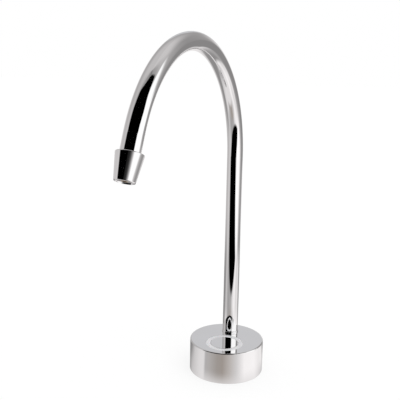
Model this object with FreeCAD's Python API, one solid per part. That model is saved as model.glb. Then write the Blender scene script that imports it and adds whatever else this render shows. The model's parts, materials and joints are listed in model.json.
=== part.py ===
import FreeCAD, Part
import math
import os

# Touch-free gooseneck tap for a worktop: a round base with a push button in its top, a thin bent
# spout that swivels behind the button, and a cone-shaped nozzle with a sensor in its underside.
# Millimetres. The origin is the centre of the base's underside, +Z is up and the base's front is -Y.

# Base: a turned cup, open below
base_radius = 30.0
base_height = 26.0
base_wall = 2.5
base_top = 3.0
rim_round = 0.8
foot_round = 0.4

# Button: a round cap in the base's top, in a pale ring that is let in round it
button_gap = 0.2
button_face_gap = 0.12
button_edge_round = 0.2
button_ring_width = 3.8
button_ring_land = 1.8
button_ring_thickness = 1.2
button_ring_sunk = 0.12
button_ring_crown = 0.2
button_travel = 1.8
cap_top_wall = 2.4
cap_skirt_wall = 1.5
cap_height = 5.5
collar_wall = 1.7
collar_depth = 3.0
collar_land = 5.5
collar_room = 0.7
stem_radius = 2.5
stem_below_guide = 2.7

# Spout: a bent tube that stands behind the button and is turned a little to the left at rest
spout_turn = -10.0
swivel_limit = 60.0
spout_radius = 6.35
spout_wall = 1.0
arch_start = 176.0
arch_radius = 89.0
arch_sweep = 156.0
nozzle_drop = 10.6
foot_ring_proud = 0.45
foot_ring_height = 1.3
foot_ring_round = 0.4

# Nozzle: a cone, widest at its shoulder, with a rounded lip
nozzle_top_radius = 8.7
nozzle_lip_radius = 6.5
nozzle_length = 17.0
nozzle_wall = 0.8
lip_round = 0.7
shoulder_wall = 1.6
shoulder_round = 0.5
lip_land = 2.0
tube_in_nozzle = 5.0
sleeve_wall = 0.65
sleeve_length = 4.2
sensor_face_recess = 0.5

# Sensor and outlet inside the nozzle
carrier_length = 8.8
board_recess = 1.2
board_thickness = 0.8
outlet_radius = 2.1
outlet_bore = 1.0
outlet_mouth = 1.55
barb_length = 4.4
straightener_length = 2.4
straightener_hole = 0.25
screen_thickness = 0.35
sensor_spread = 3.7
sensor_eye_radius = 1.0
window_radius = 1.1
window_thickness = 0.95
nozzle_seal_radius = 0.45

# Water hose and sensor lead, which run the whole length of the spout
hose_radius = 2.5
hose_wall = 0.8
lead_radius = 1.0
lead_offset = 4.1
lead_socket_length = 4.1
lead_socket_pin = 0.5

# Block in the base: turned brass that carries the spout, the button and the fixing holes
room_above_block = 8.0
block_gap = 0.4
stud_spacing = 30.0
stud_hole_radius = 2.5
stud_hole_depth = 11.0
spout_land = 2.15
seal_land = 1.1
seal_width = 3.0
seal_thickness = 1.5
post_room = 2.5
post_set_back = 1.5
post_radius = 3.0
screw_radius = 1.2
screw_head_radius = 2.7
screw_head_height = 2.6
screw_grip = 6.0
screw_end_room = 0.5

# Swivel: the spout's spigot turns in a bush in the block, between two stops
spigot_radius = 7.0
spigot_bottom = 0.8
bush_wall = 1.9
bush_bottom = 2.8
bush_flange_radius = 10.4
bush_flange_height = 1.2
washer_thickness = 1.15
cam_radius = 9.8
cam_height = 3.0
cam_root_radius = 7.4
nipple_length = 13.0
stop_pin_radius = 1.0
stop_pin_offset = 8.6
stop_pin_depth = 10.0
inlet_length = 7.8
inlet_clearance = 0.05
water_way_radius = 1.5
water_way_length = 2.0
ring_section = 0.55
ring_heights = (6.2, 11.6)
ring_groove = 1.3
clip_thickness = 0.8
clip_reach = 1.6
clip_groove_depth = 0.8
clip_mouth = 100.0

# Button works: guide, spring, clip, magnet and the switch below them
guide_radius = 9.0
guide_flange = 1.5
guide_tube_radius = 4.5
guide_top_room = 2.3
spring_radius = 5.6
spring_wire = 0.4
spring_turns = 4
stem_clip_reach = 1.5
stem_clip_thickness = 0.6
stem_groove_depth = 0.6
magnet_radius = 1.2
magnet_length = 1.6
wiper_section = 0.5
wiper_height = 1.6
holder_radius = 7.3
holder_flange_radius = 8.5
holder_flange_height = 1.0
stem_end_room = 0.2
holder_wall = 1.2
switch_board_thickness = 0.9
reed_size = (7.0, 2.6, 1.0)
socket_size = (8.0, 6.0)
socket_mouth = (5.6, 3.6)
socket_wall = 1.2
socket_recess = 1.0

# Fits, all on the radius or face to face
press_gap = 0.02
running_gap = 0.05
loose_gap = 0.15
screw_gap = 0.3
stop_angle_gap = 0.4

# Places that follow from the sizes above
spout_bore = spout_radius - spout_wall
block_radius = base_radius - base_wall - block_gap
top_underside = base_height - base_top
block_height = top_underside - room_above_block
bush_radius = spigot_radius + running_gap + bush_wall
spout_back = block_radius - spout_land - bush_radius
collar_front = base_radius - collar_land
collar_back = spout_back - cam_radius - collar_room
collar_radius = (collar_front + collar_back) / 2
button_forward = (collar_front - collar_back) / 2
button_hole = collar_radius - collar_wall
button_radius = button_hole - button_gap
button_ring_outer = button_hole + button_ring_land
button_ring_inner = button_ring_outer - button_ring_width
button_face_radius = button_ring_inner - button_face_gap
button_ring_seat = base_height - button_ring_thickness
button_ring_rim = base_height - button_ring_sunk
seal_outer_radius = block_radius - seal_land
seal_inner_radius = seal_outer_radius - seal_width
washer_bottom = block_height + bush_flange_height
cam_bottom = washer_bottom + washer_thickness + running_gap
cam_top = cam_bottom + cam_height
screw_head_top = seal_thickness + screw_gap + screw_head_height
hose_bottom = spigot_bottom + inlet_length + water_way_length + running_gap
guide_bottom = block_height - guide_flange
cap_inside = base_height - cap_top_wall
guide_tube_top = cap_inside - button_travel - guide_top_room
stem_bottom = guide_bottom - stem_below_guide
holder_height = stem_bottom - button_travel - stem_end_room
reed_bottom = holder_height - holder_wall - 2 * running_gap - reed_size[2]
switch_board_bottom = reed_bottom - switch_board_thickness
nozzle_cone_end = nozzle_length - lip_land
nozzle_cavity_top = nozzle_top_radius - nozzle_wall
nozzle_cavity_end = nozzle_lip_radius - nozzle_wall
carrier_face = nozzle_length - sensor_face_recess
carrier_back = carrier_face - carrier_length
board_back = carrier_back + board_recess - board_thickness
carrier_floor = carrier_back + board_recess
post_top = base_height - base_top / 2

# How far a cut runs past the face that it opens, where it starts off the axis, and past the base
past = 1.0
near = 0.1
far = 200.0

X = FreeCAD.Vector(1, 0, 0)
Z = FreeCAD.Vector(0, 0, 1)


def rod(radius, bottom, top, x=0.0, y=0.0):
    """A solid cylinder that stands on its end."""
    return Part.makeCylinder(radius, top - bottom, FreeCAD.Vector(x, y, bottom), Z)


def ring(outer, inner, bottom, top):
    """A cylinder with a round hole through it."""
    return rod(outer, bottom, top).cut(rod(inner, bottom, top))


def box(size_x, size_y, bottom, top):
    """A box centred on the Z axis."""
    corner = FreeCAD.Vector(-size_x / 2, -size_y / 2, bottom)
    return Part.makeBox(size_x, size_y, top - bottom, corner)


def on_circle(centre, radius, degrees):
    """The point (radius, height) of an outline on a circle round the given point."""
    angle = math.radians(degrees)
    return (centre[0] + radius * math.cos(angle), centre[1] + radius * math.sin(angle))


def turned(start, *steps):
    """A solid turned about Z from an outline of (radius, height) points.

    A step is a point, for a straight line, or (centre, radius, from, to) in degrees, for an arc.
    """
    def vector(point):
        return FreeCAD.Vector(point[0], 0, point[1])

    edges = []
    here = start
    for step in steps + (start,):
        if len(step) == 4:
            centre, radius, begin, finish = step
            middle = on_circle(centre, radius, (begin + finish) / 2)
            end = on_circle(centre, radius, finish)
            edges.append(Part.Arc(vector(here), vector(middle), vector(end)).toShape())
        else:
            end = step
            if math.dist(here, end) > 1e-6:
                edges.append(Part.makeLine(vector(here), vector(end)))
        here = end
    return Part.Face(Part.Wire(edges)).revolve(FreeCAD.Vector(0, 0, 0), Z, 360)


def seal_ring(centre_radius, section, height):
    """A rubber ring of round section that lies flat."""
    return Part.makeTorus(centre_radius, section, FreeCAD.Vector(0, 0, height), Z)


def moved(shape, x=0.0, y=0.0, z=0.0):
    copy = shape.copy()
    copy.translate(FreeCAD.Vector(x, y, z))
    return copy


def along_spout(outer, inner, bottom, tail, offset=0.0):
    """A tube, or a solid rod where inner is 0, that follows the bend of the spout.

    It is drawn about the spout's own foot, with the arch over -Y. The offset moves it outwards
    from the spout's centre line, and the tail is the straight piece after the arch.
    """
    radius = arch_radius + offset
    centre = FreeCAD.Vector(0, -arch_radius, arch_start)
    edge = Part.makeCircle(outer, FreeCAD.Vector(0, offset, arch_start), Z)
    section = Part.Face(Part.Wire(edge))
    if inner > 0:
        hole = Part.makeCircle(inner, FreeCAD.Vector(0, offset, arch_start), Z)
        section = section.cut(Part.Face(Part.Wire(hole)))
    upright = moved(section, z=bottom - arch_start).extrude(Z * (arch_start - bottom))
    arch = section.revolve(centre, X, arch_sweep)
    angle = math.radians(arch_sweep)
    downwards = FreeCAD.Vector(0, -math.sin(angle), math.cos(angle))
    last = section.copy()
    last.rotate(centre, X, arch_sweep)
    drop = last.extrude(downwards * tail)
    print(f"bend radius {radius:.1f} mm, tube radius {outer} mm")
    return upright.fuse([arch, drop]).removeSplitter()


def on_nozzle(shape):
    """Carries a piece drawn with the nozzle's shoulder at z 0 and its lip at +Z to the spout's end."""
    angle = math.radians(arch_sweep)
    end_y = -arch_radius + arch_radius * math.cos(angle) - nozzle_drop * math.sin(angle)
    end_z = arch_start + arch_radius * math.sin(angle) + nozzle_drop * math.cos(angle)
    placed = shape.copy()
    placed.rotate(FreeCAD.Vector(0, 0, 0), X, arch_sweep)
    placed.translate(FreeCAD.Vector(0, end_y, end_z))
    return placed


def on_base(shape):
    """Carries a piece drawn about the spout's own foot to its place in the base."""
    placed = shape.copy()
    placed.rotate(FreeCAD.Vector(0, 0, 0), Z, spout_turn)
    placed.translate(FreeCAD.Vector(0, spout_back, 0))
    return placed


def sector(outer, inner, bottom, top, half_angle):
    """A piece of a ring that reaches half_angle degrees to both sides of -Y."""
    first = math.radians(-90 - half_angle)
    corner_in = FreeCAD.Vector(inner * math.cos(first), inner * math.sin(first), bottom)
    corner_out = FreeCAD.Vector(outer * math.cos(first), outer * math.sin(first), bottom)
    edge = Part.makeLine(corner_in, corner_out)
    face = edge.revolve(FreeCAD.Vector(0, 0, 0), Z, 2 * half_angle)
    return face.extrude(Z * (top - bottom))


def post_places():
    place_x = collar_radius + post_room + post_radius
    return [(side * place_x, post_set_back - button_forward) for side in (-1, 1)]


# Pieces of the base

def base_housing():
    """The chromed cup: walls, top, spout hole, and a collar and a seat round the button's hole."""
    inner = base_radius - base_wall
    shell = turned(
        (0, top_underside), (inner, top_underside), (inner, 0), (base_radius - foot_round, 0),
        ((base_radius - foot_round, foot_round), foot_round, -90, 0),
        (base_radius, base_height - rim_round),
        ((base_radius - rim_round, base_height - rim_round), rim_round, 0, 90),
        (0, base_height))
    collar = rod(collar_radius, top_underside - collar_depth, post_top,
                 y=-button_forward)
    posts = [rod(post_radius, block_height, post_top, x, y)
             for x, y in post_places()]
    button_cut = turned(
        (0, 0), (button_hole, 0), (button_hole, button_ring_seat),
        (button_ring_outer + press_gap, button_ring_seat),
        (button_ring_outer + press_gap, base_height + past), (0, base_height + past))
    cuts = [moved(button_cut, y=-button_forward)]
    cuts.append(rod(spout_radius + loose_gap, cam_bottom, base_height + past, y=spout_back))
    screw_hole_end = block_height + screw_grip + screw_end_room
    for x, y in post_places():
        cuts.append(rod(screw_radius + press_gap, block_height - past, screw_hole_end, x, y))
    return shell.fuse([collar] + posts).removeSplitter().cut(cuts)


def button_ring():
    """The pale ring that is pressed into the base's top and keeps the cap in, with a low crown."""
    half = button_ring_width / 2
    crown_radius = (half ** 2 + button_ring_crown ** 2) / (2 * button_ring_crown)
    crown_angle = math.degrees(math.asin(half / crown_radius))
    middle = (button_ring_inner + half, button_ring_rim + button_ring_crown - crown_radius)
    pale = turned(
        (button_ring_inner, button_ring_seat), (button_ring_outer, button_ring_seat),
        (button_ring_outer, button_ring_rim),
        (middle, crown_radius, 90 - crown_angle, 90 + crown_angle),
        (button_ring_inner, button_ring_rim))
    return moved(pale, y=-button_forward)


def mounting_block():
    """The brass block that fills the cup's lower half, with a bore or pocket for all it carries."""
    body = turned((0, 0), (block_radius, 0), (block_radius, block_height), (0, block_height))
    cuts = [ring(seal_outer_radius + press_gap, seal_inner_radius - press_gap, -past, seal_thickness)]
    cuts.append(rod(bush_radius + press_gap, -past, block_height + past, y=spout_back))
    cuts.append(rod(holder_radius + press_gap, -past, block_height + past, y=-button_forward))
    cuts.append(rod(holder_flange_radius + press_gap, -past, holder_flange_height, y=-button_forward))
    cuts.append(rod(guide_radius + press_gap, guide_bottom, block_height + past, y=-button_forward))
    for side in (-1, 1):
        cuts.append(rod(stud_hole_radius, -past, stud_hole_depth, x=side * stud_spacing / 2))
    for x, y in post_places():
        cuts.append(rod(screw_radius + screw_gap, -past, block_height + past, x, y))
        cuts.append(rod(screw_head_radius + screw_gap, -past, screw_head_top, x, y))
    pin_hole_end = block_height - stop_pin_depth
    cuts.append(rod(stop_pin_radius + press_gap, pin_hole_end, block_height + past,
                    y=spout_back - stop_pin_offset))
    return body.cut(cuts)


def worktop_seal():
    """The flat rubber ring in the block's underside."""
    return ring(seal_outer_radius, seal_inner_radius, 0, seal_thickness)


def housing_screws():
    """Two cap screws that pull the cup down on the block."""
    screws = []
    for x, y in post_places():
        head_bottom = screw_head_top - screw_head_height
        head = rod(screw_head_radius, head_bottom, screw_head_top, x, y)
        shank = rod(screw_radius, screw_head_top, block_height + screw_grip, x, y)
        socket = Part.Face(Part.makePolygon([
            FreeCAD.Vector(x + screw_radius * math.cos(math.radians(60 * corner)),
                           y + screw_radius * math.sin(math.radians(60 * corner)), head_bottom)
            for corner in range(7)])).extrude(Z * (screw_head_height / 2))
        screws.append(head.fuse(shank).removeSplitter().cut(socket))
    return Part.makeCompound(screws)


def swivel_bush():
    """The plastic bearing in the block that the spigot turns in."""
    sleeve = rod(bush_radius, bush_bottom, block_height)
    flange = rod(bush_flange_radius, block_height, washer_bottom)
    bore = rod(spigot_radius + running_gap, 0, far)
    pin_hole = rod(stop_pin_radius + press_gap, 0, far, y=-stop_pin_offset)
    bush = sleeve.fuse(flange).removeSplitter().cut([bore, pin_hole])
    return moved(bush, y=spout_back)


def friction_washer():
    """The slippery washer between the bush and the spigot's cam."""
    washer = ring(bush_flange_radius, spigot_radius + running_gap, washer_bottom,
                  washer_bottom + washer_thickness)
    washer = washer.cut(rod(stop_pin_radius + press_gap, 0, far, y=-stop_pin_offset))
    return moved(washer, y=spout_back)


def stop_pin():
    """The pin that the cam's two ends come to rest on."""
    bottom = block_height - stop_pin_depth
    return rod(stop_pin_radius, bottom, cam_top - running_gap, y=spout_back - stop_pin_offset)


def button_guide():
    """The plastic guide that the button's stem slides in."""
    flange = rod(guide_radius, guide_bottom, block_height)
    tube = rod(guide_tube_radius, block_height, guide_tube_top)
    bore = rod(stem_radius + running_gap, 0, far)
    return moved(flange.fuse(tube).removeSplitter().cut(bore), y=-button_forward)


def switch_holder():
    """The plastic cup, pressed in from below, that keeps the switch dry."""
    cup = rod(holder_radius, 0, holder_height).fuse(rod(holder_flange_radius, 0, holder_flange_height))
    room = rod(holder_radius - holder_wall, -past, holder_height - holder_wall)
    return moved(cup.removeSplitter().cut(room), y=-button_forward)


def switch_board():
    board = rod(holder_radius - holder_wall - running_gap, switch_board_bottom, reed_bottom)
    return moved(board, y=-button_forward)


def reed_switch():
    length, width, height = reed_size
    return moved(box(length, width, reed_bottom, reed_bottom + height), y=-button_forward)


def switch_socket():
    """The socket that the button's plug goes into, open at the base's underside."""
    shell = box(*socket_size, socket_recess, switch_board_bottom)
    mouth = box(*socket_mouth, 0, switch_board_bottom - socket_wall)
    return moved(shell.cut(mouth), y=-button_forward)


# Pieces that go down with the button

def button_cap():
    """The flush cap with a shoulder below the pale ring, its skirt and its stem."""
    skirt_bottom = base_height - cap_height
    shoulder = button_ring_seat - button_gap
    edge_centre = (button_face_radius - button_edge_round, base_height - button_edge_round)
    cap = turned(
        (0, stem_bottom), (stem_radius, stem_bottom), (stem_radius, cap_inside),
        (button_radius - cap_skirt_wall, cap_inside),
        (button_radius - cap_skirt_wall, skirt_bottom), (button_radius, skirt_bottom),
        (button_radius, shoulder), (button_face_radius, shoulder),
        (button_face_radius, base_height - button_edge_round),
        (edge_centre, button_edge_round, 0, 90),
        (0, base_height))
    wiper_z = skirt_bottom + wiper_height
    cap = cap.cut(seal_ring(button_radius, wiper_section + press_gap, wiper_z))
    clip_bottom = guide_bottom - running_gap - stem_clip_thickness
    groove = ring(stem_radius + past, stem_radius - stem_groove_depth, clip_bottom - press_gap,
                  guide_bottom - running_gap + press_gap)
    cup = rod(magnet_radius + press_gap, stem_bottom, stem_bottom + magnet_length)
    return moved(cap.cut([groove, cup]), y=-button_forward)


def button_wiper():
    """The rubber ring round the cap's skirt, pressed flat by the hole."""
    wiper_z = base_height - cap_height + wiper_height
    rubber = seal_ring(button_radius, wiper_section, wiper_z)
    return moved(rubber.common(rod(button_hole - running_gap, 0, base_height)), y=-button_forward)


def stem_clip():
    """The spring clip below the guide that keeps the button in."""
    top = guide_bottom - running_gap
    clip = ring(stem_radius + stem_clip_reach, stem_radius - stem_groove_depth + press_gap,
                top - stem_clip_thickness, top)
    mouth = sector(far, near, 0, base_height, clip_mouth / 2)
    return moved(clip.cut(mouth), y=-button_forward)


def button_magnet():
    return moved(rod(magnet_radius, stem_bottom, stem_bottom + magnet_length), y=-button_forward)


def return_spring():
    """The coil between the guide and the cap, as quarter turns of round wire."""
    bottom = block_height + spring_wire + press_gap
    top = cap_inside - spring_wire - press_gap
    pitch = (top - bottom) / spring_turns

    def on_helix(turn):
        angle = 2 * math.pi * turn
        return FreeCAD.Vector(spring_radius * math.cos(angle), spring_radius * math.sin(angle),
                              bottom + pitch * turn)

    quarters = range(4 * spring_turns)
    arcs = [Part.Arc(on_helix(q / 4), on_helix(q / 4 + 1 / 8), on_helix(q / 4 + 1 / 4)).toShape()
            for q in quarters]
    path = Part.Wire(arcs)
    start = on_helix(0)
    tangent = arcs[0].tangentAt(arcs[0].FirstParameter)
    section = Part.Wire(Part.makeCircle(spring_wire, start, tangent))
    coil = path.makePipeShell([section], True, False)
    return moved(coil, y=-button_forward)


# Pieces that turn with the spout

def spout_tube():
    """The bent tube, from the top of the cam to a short way inside the nozzle."""
    return along_spout(spout_radius, spout_bore, cam_top, nozzle_drop + tube_in_nozzle)


def foot_ring():
    """The thin ring that covers the gap where the tube enters the base."""
    inner = spout_radius + press_gap
    outer = spout_radius + foot_ring_proud
    bottom = base_height + running_gap
    top = bottom + foot_ring_height
    corner = (outer - foot_ring_round, top - foot_ring_round)
    return turned((inner, bottom), (outer, bottom), (outer, top - foot_ring_round),
                  (corner, foot_ring_round, 0, 90), (inner, top))


def spout_spigot():
    """The brass spigot: bearing, cam with its cut-out, nipple in the tube, and the push-fit inlet."""
    body = rod(spigot_radius, spigot_bottom, cam_bottom)
    cam = rod(cam_radius, cam_bottom, cam_top)
    nipple = rod(spout_bore - press_gap, cam_top, cam_top + nipple_length)
    pin_angle = math.degrees(math.asin(stop_pin_radius / stop_pin_offset))
    swing = sector(cam_radius + past, cam_root_radius, cam_bottom, cam_top,
                   swivel_limit + pin_angle + stop_angle_gap)
    grooves = [ring(spigot_radius + past, spigot_radius - 2 * ring_section - 2 * press_gap,
                    height - ring_groove / 2, height + ring_groove / 2) for height in ring_heights]
    clip_top = bush_bottom - press_gap
    grooves.append(ring(spigot_radius + past, spigot_radius - clip_groove_depth,
                        clip_top - clip_thickness - 2 * press_gap, clip_top))
    bores = [rod(hose_radius + inlet_clearance, spigot_bottom, spigot_bottom + inlet_length)]
    bores.append(rod(water_way_radius, spigot_bottom, hose_bottom))
    bores.append(rod(hose_radius + press_gap, hose_bottom - running_gap, far))
    bores.append(rod(lead_radius + running_gap, 0, far, y=lead_offset))
    return body.fuse([cam, nipple]).removeSplitter().cut([swing] + grooves + bores)


def spigot_rings():
    """Two rubber rings in the spigot's grooves."""
    centre = spigot_radius - ring_section - press_gap
    return Part.makeCompound([seal_ring(centre, ring_section, height) for height in ring_heights])


def retaining_clip():
    """The spring clip under the bush that keeps the spout from lifting out."""
    top = bush_bottom - 2 * press_gap
    clip = ring(spigot_radius + clip_reach, spigot_radius - clip_groove_depth + press_gap,
                top - clip_thickness, top)
    return clip.cut(sector(far, near, 0, block_height, clip_mouth / 2))


def water_hose():
    """The plastic hose that carries the water from the spigot to the outlet."""
    tail = nozzle_drop + carrier_floor - press_gap
    return along_spout(hose_radius, hose_radius - hose_wall, hose_bottom, tail)


def sensor_lead():
    """The sensor's cable, which lies beside the hose on the outside of the bend."""
    bottom = spigot_bottom + lead_socket_length
    return along_spout(lead_radius, 0, bottom, nozzle_drop + board_back, offset=lead_offset)


def lead_socket():
    """The socket at the lead's lower end, flush with the spigot."""
    top = spigot_bottom + lead_socket_length
    shell = rod(lead_radius, spigot_bottom, top, y=lead_offset)
    return shell.cut(rod(lead_socket_pin, spigot_bottom, top - lead_radius, y=lead_offset))


# Pieces of the nozzle, drawn with the shoulder at z 0 and the lip at the top

def cavity_radius(depth):
    """The radius of the nozzle's tapered hollow at a depth below its shoulder."""
    share = (depth - shoulder_wall) / (nozzle_cone_end - shoulder_wall)
    return nozzle_cavity_top + (nozzle_cavity_end - nozzle_cavity_top) * min(share, 1.0)


def nozzle_shell():
    """The chromed cone with its flat shoulder and rounded lip."""
    hole = spout_radius + press_gap
    lip = (nozzle_lip_radius - lip_round, nozzle_length - lip_round)
    shoulder = (nozzle_top_radius - shoulder_round, shoulder_round)
    return turned(
        (hole, 0), (nozzle_top_radius - shoulder_round, 0),
        (shoulder, shoulder_round, -90, 0),
        (nozzle_lip_radius, nozzle_length - lip_round),
        (lip, lip_round, 0, 90),
        (nozzle_cavity_end, nozzle_length), (nozzle_cavity_end, nozzle_cone_end),
        (nozzle_cavity_top, shoulder_wall), (hole, shoulder_wall))


def nozzle_sleeve():
    """The brass sleeve on the tube's end that the nozzle is screwed to."""
    inner = spout_radius + press_gap
    return ring(inner + sleeve_wall, inner, shoulder_wall, shoulder_wall + sleeve_length)


def nozzle_seal():
    """The rubber ring between the sleeve and the sensor carrier."""
    height = carrier_back - nozzle_seal_radius
    return seal_ring(cavity_radius(height) - nozzle_seal_radius - running_gap, nozzle_seal_radius,
                     height)


def sensor_carrier():
    """The chromed plug that closes the nozzle and holds the sensor's eyes and the outlet."""
    back_radius = cavity_radius(carrier_back) - running_gap
    face_radius = nozzle_cavity_end - running_gap
    plug = turned((0, carrier_back), (back_radius, carrier_back), (face_radius, nozzle_cone_end),
                  (face_radius, carrier_face), (0, carrier_face))
    board_room = rod(cavity_radius(carrier_floor) - nozzle_wall + running_gap, carrier_back, carrier_floor)
    outlet = rod(outlet_radius + press_gap, 0, far)
    eyes = [rod(sensor_eye_radius + press_gap, 0, far, x=side * sensor_spread) for side in (-1, 1)]
    seats = [rod(window_radius + press_gap, carrier_face - window_thickness, far, x=side * sensor_spread)
             for side in (-1, 1)]
    return plug.cut([board_room, outlet] + eyes + seats)


def sensor_board():
    """The small round board behind the carrier, with a hole for the hose."""
    outer = cavity_radius(carrier_floor) - nozzle_wall
    return ring(outer, hose_radius + loose_gap, board_back, carrier_floor)


def ir_emitter():
    """The sending eye, a rod with a domed front."""
    front = carrier_face - window_thickness - press_gap
    rim = front - sensor_eye_radius
    eye = turned((0, carrier_floor), (sensor_eye_radius, carrier_floor), (sensor_eye_radius, rim),
                 ((0, rim), sensor_eye_radius, 0, 90))
    return moved(eye, x=-sensor_spread)


def ir_receiver():
    """The receiving eye, a rod with a flat front."""
    front = carrier_face - window_thickness - press_gap
    return rod(sensor_eye_radius, carrier_floor, front, x=sensor_spread)


def eye_window(side):
    """A dark window in the carrier's face, in front of an eye."""
    return rod(window_radius, carrier_face - window_thickness, carrier_face, x=side * sensor_spread)


def outlet_nipple():
    """The brass outlet: a barb in the hose, a narrow bore and a wide mouth."""
    barb = hose_radius - hose_wall - press_gap
    mouth_bottom = carrier_face - straightener_length - screen_thickness
    return turned(
        (outlet_bore, carrier_floor - barb_length), (barb, carrier_floor - barb_length),
        (barb, carrier_floor), (outlet_radius, carrier_floor), (outlet_radius, carrier_face),
        (outlet_mouth, carrier_face), (outlet_mouth, mouth_bottom),
        (outlet_bore, mouth_bottom - (outlet_mouth - outlet_bore)))


def flow_straightener():
    """The plastic disc with seven small holes that smooths the stream."""
    bottom = carrier_face - straightener_length
    radius = outlet_mouth - press_gap
    pitch = (radius - straightener_hole) * 2 / 3
    holes = [rod(straightener_hole, 0, far)]
    for step in range(6):
        angle = math.radians(60 * step)
        holes.append(rod(straightener_hole, 0, far, pitch * math.cos(angle), pitch * math.sin(angle)))
    return rod(radius, bottom, carrier_face - sensor_face_recess).cut(holes)


def straightener_screen():
    """The fine screen behind the straightener."""
    top = carrier_face - straightener_length
    return ring(outlet_mouth - press_gap, outlet_bore / 2, top - screen_thickness + press_gap, top)


base_pieces = {
    "base_housing": base_housing(),
    "button_ring": button_ring(),
    "mounting_block": mounting_block(),
    "worktop_seal": worktop_seal(),
    "housing_screws": housing_screws(),
    "swivel_bush": swivel_bush(),
    "friction_washer": friction_washer(),
    "stop_pin": stop_pin(),
    "button_guide": button_guide(),
    "switch_holder": switch_holder(),
    "switch_board": switch_board(),
    "reed_switch": reed_switch(),
    "switch_socket": switch_socket(),
    "button_cap": button_cap(),
    "button_wiper": button_wiper(),
    "stem_clip": stem_clip(),
    "button_magnet": button_magnet(),
    "return_spring": return_spring(),
}

spout_pieces = {
    "spout_tube": spout_tube(),
    "foot_ring": foot_ring(),
    "spout_spigot": spout_spigot(),
    "spigot_rings": spigot_rings(),
    "retaining_clip": retaining_clip(),
    "water_hose": water_hose(),
    "sensor_lead": sensor_lead(),
    "lead_socket": lead_socket(),
}

nozzle_pieces = {
    "nozzle_shell": nozzle_shell(),
    "nozzle_sleeve": nozzle_sleeve(),
    "nozzle_seal": nozzle_seal(),
    "sensor_carrier": sensor_carrier(),
    "sensor_board": sensor_board(),
    "ir_emitter": ir_emitter(),
    "ir_receiver": ir_receiver(),
    "emitter_window": eye_window(-1),
    "receiver_window": eye_window(1),
    "outlet_nipple": outlet_nipple(),
    "flow_straightener": flow_straightener(),
    "straightener_screen": straightener_screen(),
}

pieces = dict(base_pieces)
for name, shape in spout_pieces.items():
    pieces[name] = on_base(shape)
for name, shape in nozzle_pieces.items():
    pieces[name] = on_base(on_nozzle(shape))

os.makedirs("parts", exist_ok=True)
for name, shape in pieces.items():
    shape.exportStep(f"parts/{name}.step")
    print(f"{name}: {len(shape.Solids)} solid, {shape.Volume:.1f} cubic mm, valid {shape.isValid()}")
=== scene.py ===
# %% [markdown]
# # Dressing an automatic gooseneck tap
# The tap arrives here as finished solids: a low round base, a bent spout with a cone-shaped nozzle,
# a flush push button, and everything inside them that makes it work.
# Blender's part is the look. Polished chrome has hardly any colour of its own, so this lesson is
# mostly about what stands round the tap, because that is what you see in it.
#
# The first cell loads the solids. All lengths are in metres.

# %% Load the solids
import json
import math

import bpy
from mathutils import Matrix, Vector


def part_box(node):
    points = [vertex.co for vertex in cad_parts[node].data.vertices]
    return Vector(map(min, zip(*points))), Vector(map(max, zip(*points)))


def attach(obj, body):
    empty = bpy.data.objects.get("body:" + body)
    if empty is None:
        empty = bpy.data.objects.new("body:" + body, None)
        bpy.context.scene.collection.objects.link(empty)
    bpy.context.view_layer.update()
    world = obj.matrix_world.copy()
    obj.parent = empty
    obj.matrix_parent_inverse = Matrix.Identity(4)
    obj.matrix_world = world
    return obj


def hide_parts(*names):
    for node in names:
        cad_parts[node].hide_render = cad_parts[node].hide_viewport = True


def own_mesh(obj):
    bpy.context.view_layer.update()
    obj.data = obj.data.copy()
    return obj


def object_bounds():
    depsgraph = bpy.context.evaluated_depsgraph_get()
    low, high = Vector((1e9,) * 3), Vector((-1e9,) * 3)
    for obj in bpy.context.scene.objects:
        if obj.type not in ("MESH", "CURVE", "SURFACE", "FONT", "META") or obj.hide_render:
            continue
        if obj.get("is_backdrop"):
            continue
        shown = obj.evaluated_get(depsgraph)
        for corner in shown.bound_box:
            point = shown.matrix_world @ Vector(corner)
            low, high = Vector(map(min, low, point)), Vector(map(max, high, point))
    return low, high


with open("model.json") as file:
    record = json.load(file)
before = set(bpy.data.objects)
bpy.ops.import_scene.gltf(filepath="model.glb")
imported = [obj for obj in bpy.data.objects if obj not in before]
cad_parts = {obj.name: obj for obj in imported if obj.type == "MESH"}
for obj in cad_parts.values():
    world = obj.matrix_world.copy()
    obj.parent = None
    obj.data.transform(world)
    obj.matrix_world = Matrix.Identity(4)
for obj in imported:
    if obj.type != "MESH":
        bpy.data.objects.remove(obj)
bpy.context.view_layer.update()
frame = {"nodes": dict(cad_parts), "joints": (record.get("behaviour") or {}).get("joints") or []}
MM_PER_METRE = 1000

# %% [markdown]
# ## An empty table
# Blender starts with a cube, a lamp and a camera. They would stand in our picture and spoil the
# reflections, so they go first.

# %% Clear what Blender starts with
for name in ("Cube", "Light", "Camera"):
    leftover = bpy.data.objects.get(name)
    if leftover is not None:
        bpy.data.objects.remove(leftover, do_unlink=True)

# %% [markdown]
# ## The camera
# A camera can be placed by eye, or from measured angles. Here it was measured: the outlines of the
# base, the tube and the nozzle in the photograph fix where the photographer stood. The camera is a
# little to the right of the tap and a little above it, about 54 cm away, and it is rolled by one
# degree, as on a hastily set tripod.
#
# Directions are given as on a map, by a compass angle and a height above level. 0 is the tap's
# front, +90 its right, -90 its left and 180 its back. `arrow` turns two such angles into a vector,
# and the lamp and the cards are placed with it too.
# A camera in Blender looks along its own -Z, with +X to its right and +Y up. So three directions are
# worked out, and they are the columns of its rotation.

# %% Set up the camera
AZIMUTH = math.radians(12.685)
ELEVATION = math.radians(12.915)
ROLL = math.radians(0.988)
DISTANCE = 0.5429
AIM_RIGHT = -0.02395
AIM_HEIGHT = 0.14278
FOCAL_PIXELS = 687.2
PICTURE_PIXELS = 400
SENSOR_MM = 36.0


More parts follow.
